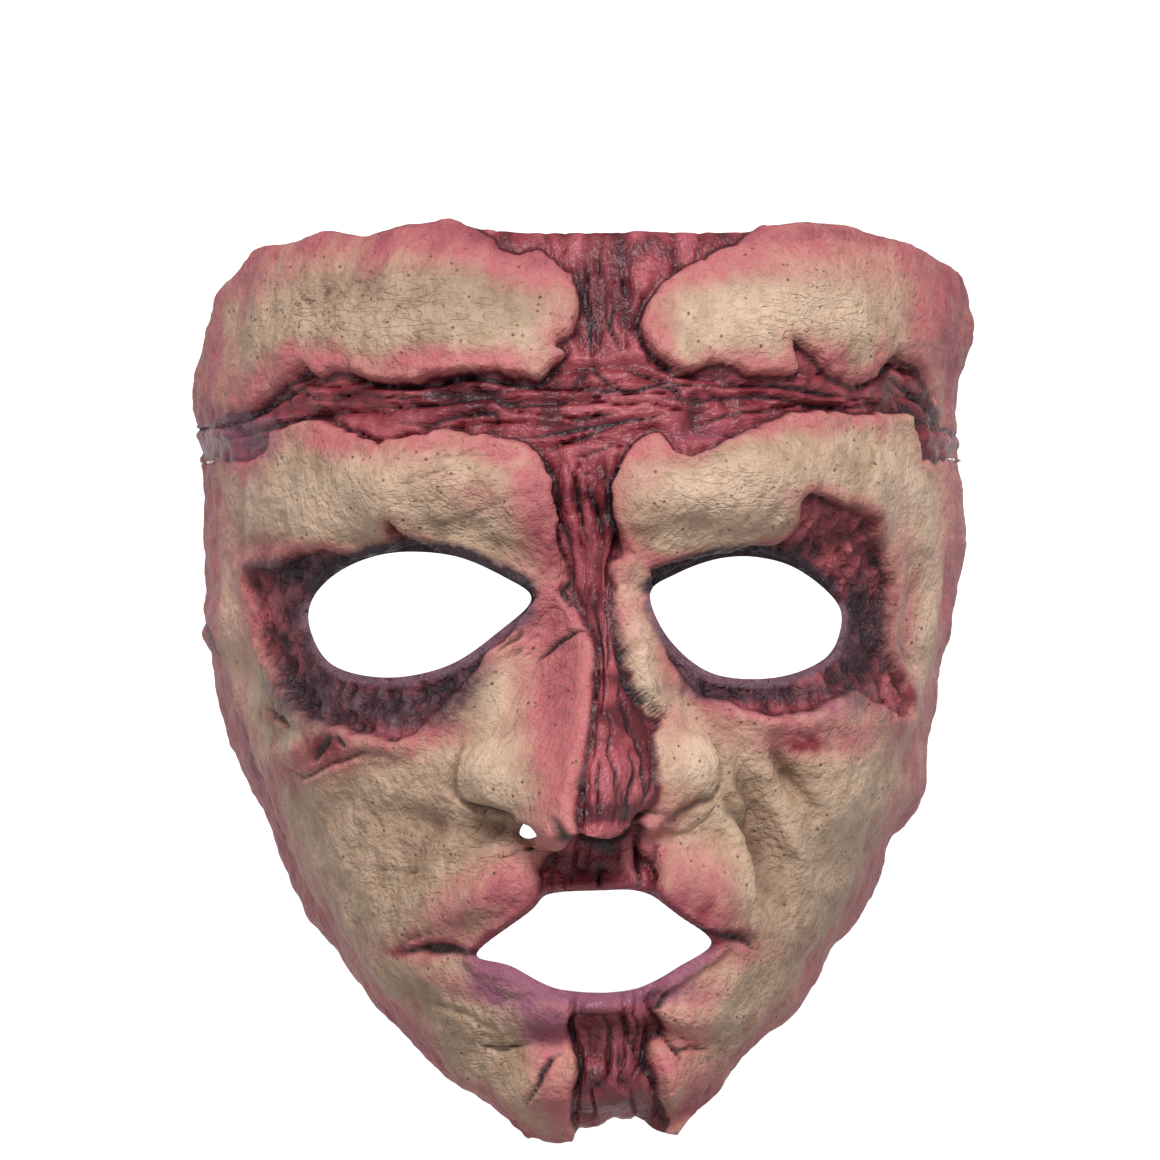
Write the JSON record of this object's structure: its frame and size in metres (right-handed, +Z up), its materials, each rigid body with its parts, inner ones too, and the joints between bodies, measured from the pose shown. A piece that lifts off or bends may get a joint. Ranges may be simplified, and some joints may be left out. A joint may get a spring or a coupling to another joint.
{
  "type": "horror mask",
  "caption": "Thin latex front mask of torn, flayed skin with open eyes and mouth, worn over the face and held by a flat elastic strap stapled inside the side rims.",
  "frame": {"origin": "The bridge of the nose on the eye line, where the mask sits on a face", "axes": "-Y is the way that the mask faces, +X is across the face to the right of someone who looks at it, +Z is up"},
  "size_m": [0.1673, 0.2172, 0.1899],
  "materials": {
    "painted_latex": "matt painted latex",
    "woven_elastic": "woven",
    "staple_steel": "bright wire"
  },
  "bodies": {
    "root": {"mask_shell": "painted_latex", "head_strap": "woven_elastic", "staple_left": "staple_steel", "staple_right": "staple_steel"}
  },
  "joints": []
}
